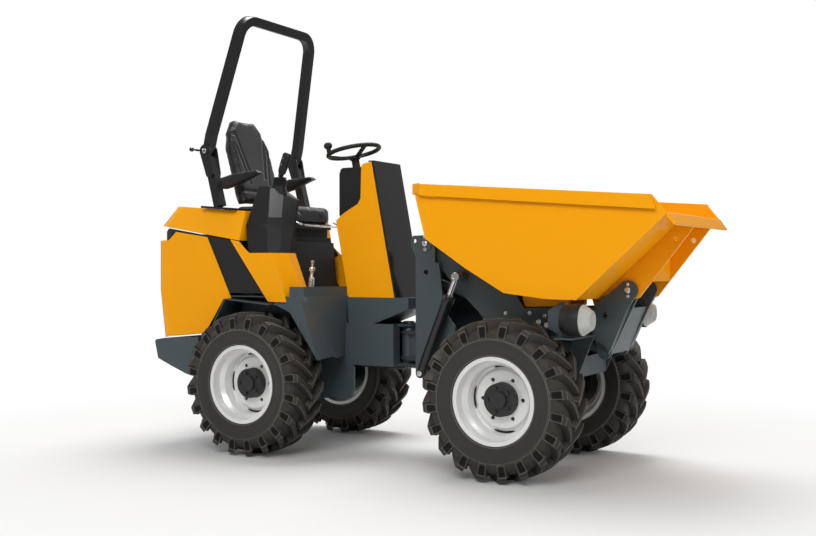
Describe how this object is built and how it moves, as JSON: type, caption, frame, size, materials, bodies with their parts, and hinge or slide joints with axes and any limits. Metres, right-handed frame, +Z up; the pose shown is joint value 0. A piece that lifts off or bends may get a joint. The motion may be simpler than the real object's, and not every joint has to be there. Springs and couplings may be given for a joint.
{
  "type": "articulated site dumper",
  "caption": "Articulated four-wheel site dumper: high-tip skip on a lift arm in front, driver's seat with folding roll-over frame behind.",
  "frame": {"origin": "centre of the overall box at floor level, at rest with the skip down and the steering straight", "axes": "+X forward towards the skip's pouring edge, +Y to the driver's left, +Z up"},
  "size_m": [3.014, 1.196, 2.4174],
  "materials": {
    "machine_yellow": "gloss",
    "frame_grey": "satin",
    "black_paint": "satin",
    "chrome_rod": "polished",
    "seat_vinyl": "satin",
    "black_plastic": "matte",
    "lamp": "satin",
    "tyre": "matte",
    "rim_silver": "gloss",
    "hub_black": "satin"
  },
  "bodies": {
    "rear_body": {"rear_frame": "frame_grey", "counterweight": "frame_grey", "fenders": "frame_grey", "engine_block": "black_paint", "engine_housing": "black_paint", "side_panels": "machine_yellow", "top_cover": "machine_yellow", "pillars": "machine_yellow", "seat_box": "black_paint", "seat_suspension": "black_plastic", "seat_cushion": "seat_vinyl", "seat_back": "seat_vinyl", "armrests": "seat_vinyl", "console": "black_plastic", "joystick": "black_plastic", "scuttle_sides": "machine_yellow", "scuttle_front": "black_paint", "dash": "black_plastic", "rops_legs": "black_paint", "rear_axle": "black_paint"},
    "front_body": {"front_frame": "frame_grey", "mast_plates": "frame_grey", "lamp_brackets": "frame_grey", "front_axle": "black_paint", "headlights": "lamp"},
    "lift_arm_body": {"lift_arm": "frame_grey"},
    "carriage_body": {"carriage": "frame_grey"},
    "skip_body": {"skip": "machine_yellow", "skip_sides": "machine_yellow", "skip_rim": "machine_yellow", "skip_ribs": "machine_yellow", "skip_bearers": "machine_yellow"},
    "lower_links_body": {"lower_links": "frame_grey"},
    "lift_barrels_body": {"lift_barrels": "black_paint"},
    "lift_rods_body": {"lift_rods": "chrome_rod"},
    "tip_barrel_body": {"tip_barrel": "black_paint"},
    "tip_rod_body": {"tip_rod": "chrome_rod"},
    "steer_barrel_body": {"steer_barrel": "black_paint"},
    "steer_rod_body": {"steer_rod": "chrome_rod"},
    "rops_hoop_body": {"rops_hoop": "black_paint"},
    "steering_wheel_body": {"steering_wheel": "black_plastic"},
    "wheel_front_left": {"tyre_front_left": "tyre", "rim_front_left": "rim_silver", "hub_front_left": "hub_black"},
    "wheel_front_right": {"tyre_front_right": "tyre", "rim_front_right": "rim_silver", "hub_front_right": "hub_black"},
    "wheel_rear_left": {"tyre_rear_left": "tyre", "rim_rear_left": "rim_silver", "hub_rear_left": "hub_black"},
    "wheel_rear_right": {"tyre_rear_right": "tyre", "rim_rear_right": "rim_silver", "hub_rear_right": "hub_black"}
  },
  "joints": [
    {"name": "articulated_steering", "type": "hinge", "parent": "rear_body", "child": "front_body", "pos_m": [-0.09, 0, 0.582], "axis": [0, 0, 1], "range_deg": [-32, 32]},
    {"name": "arm_lift", "type": "hinge", "parent": "front_body", "child": "lift_arm_body", "pos_m": [0.118, 0, 1.124], "axis": [0, -1, 0], "range_deg": [0, 40]},
    {"name": "carriage_level", "type": "hinge", "parent": "lift_arm_body", "child": "carriage_body", "pos_m": [1.09, 0, 0.773], "axis": [0, -1, 0], "range_deg": [-40, 0]},
    {"name": "skip_tip", "type": "hinge", "parent": "carriage_body", "child": "skip_body", "pos_m": [1.196, 0, 0.893], "axis": [0, 1, 0], "range_deg": [0, 75]},
    {"name": "lower_link_swing", "type": "hinge", "parent": "front_body", "child": "lower_links_body", "pos_m": [0.093, 0, 0.941], "axis": [0, -1, 0], "range_deg": [0, 40]},
    {"name": "lift_barrel_swing", "type": "hinge", "parent": "front_body", "child": "lift_barrels_body", "pos_m": [0.12, 0, 0.457], "axis": [0, -1, 0], "range_deg": [0, 0.605]},
    {"name": "lift_rod_slide", "type": "slide", "parent": "lift_barrels_body", "child": "lift_rods_body", "axis": [0.3772, 0, 0.9261], "range_m": [0, 0.1825]},
    {"name": "tip_barrel_swing", "type": "hinge", "parent": "carriage_body", "child": "tip_barrel_body", "pos_m": [0.7, 0, 0.6], "axis": [0, -1, 0], "range_deg": [0, 19.58]},
    {"name": "tip_rod_slide", "type": "slide", "parent": "tip_barrel_body", "child": "tip_rod_body", "axis": [0.8465, 0, 0.5325], "range_m": [0, 0.2042]},
    {"name": "steer_barrel_swing", "type": "hinge", "parent": "rear_body", "child": "steer_barrel_body", "pos_m": [-0.52, 0.195, 0.445], "axis": [0, 0, 1], "range_deg": [-0.88, 0.88]},
    {"name": "steer_rod_slide", "type": "slide", "parent": "steer_barrel_body", "child": "steer_rod_body", "axis": [0.9991, -0.0434, 0], "range_m": [-0.0944, 0.0944]},
    {"name": "rops_fold", "type": "hinge", "parent": "rear_body", "child": "rops_hoop_body", "pos_m": [-1.146, 0, 1.648], "axis": [0, -1, 0], "range_deg": [0, 115]},
    {"name": "steering_wheel_turn", "type": "hinge", "parent": "rear_body", "child": "steering_wheel_body", "pos_m": [-0.446, 0, 1.646], "axis": [-0.2079, 0, 0.9781], "continuous": true},
    {"name": "wheel_turn_front_left", "type": "hinge", "parent": "front_body", "child": "wheel_front_left", "pos_m": [0.69, 0.466, 0.382], "axis": [0, 1, 0], "continuous": true},
    {"name": "wheel_turn_front_right", "type": "hinge", "parent": "front_body", "child": "wheel_front_right", "pos_m": [0.69, -0.466, 0.382], "axis": [0, 1, 0], "continuous": true},
    {"name": "wheel_turn_rear_left", "type": "hinge", "parent": "rear_body", "child": "wheel_rear_left", "pos_m": [-0.78, 0.466, 0.382], "axis": [0, 1, 0], "continuous": true},
    {"name": "wheel_turn_rear_right", "type": "hinge", "parent": "rear_body", "child": "wheel_rear_right", "pos_m": [-0.78, -0.466, 0.382], "axis": [0, 1, 0], "continuous": true}
  ],
  "couplings": [
    {"joint": "carriage_level", "follows": "arm_lift", "ratio": -1},
    {"joint": "lower_link_swing", "follows": "arm_lift", "ratio": 1},
    {"joint": "lift_barrel_swing", "follows": "arm_lift", "ratio": 0.013878},
    {"joint": "lift_rod_slide", "follows": "arm_lift", "m_per_rad": 0.26067},
    {"joint": "tip_barrel_swing", "follows": "skip_tip", "ratio": 0.26044},
    {"joint": "tip_rod_slide", "follows": "skip_tip", "m_per_rad": 0.15562},
    {"joint": "steer_barrel_swing", "follows": "articulated_steering", "ratio": 0.026034},
    {"joint": "steer_rod_slide", "follows": "articulated_steering", "m_per_rad": -0.16806}
  ]
}
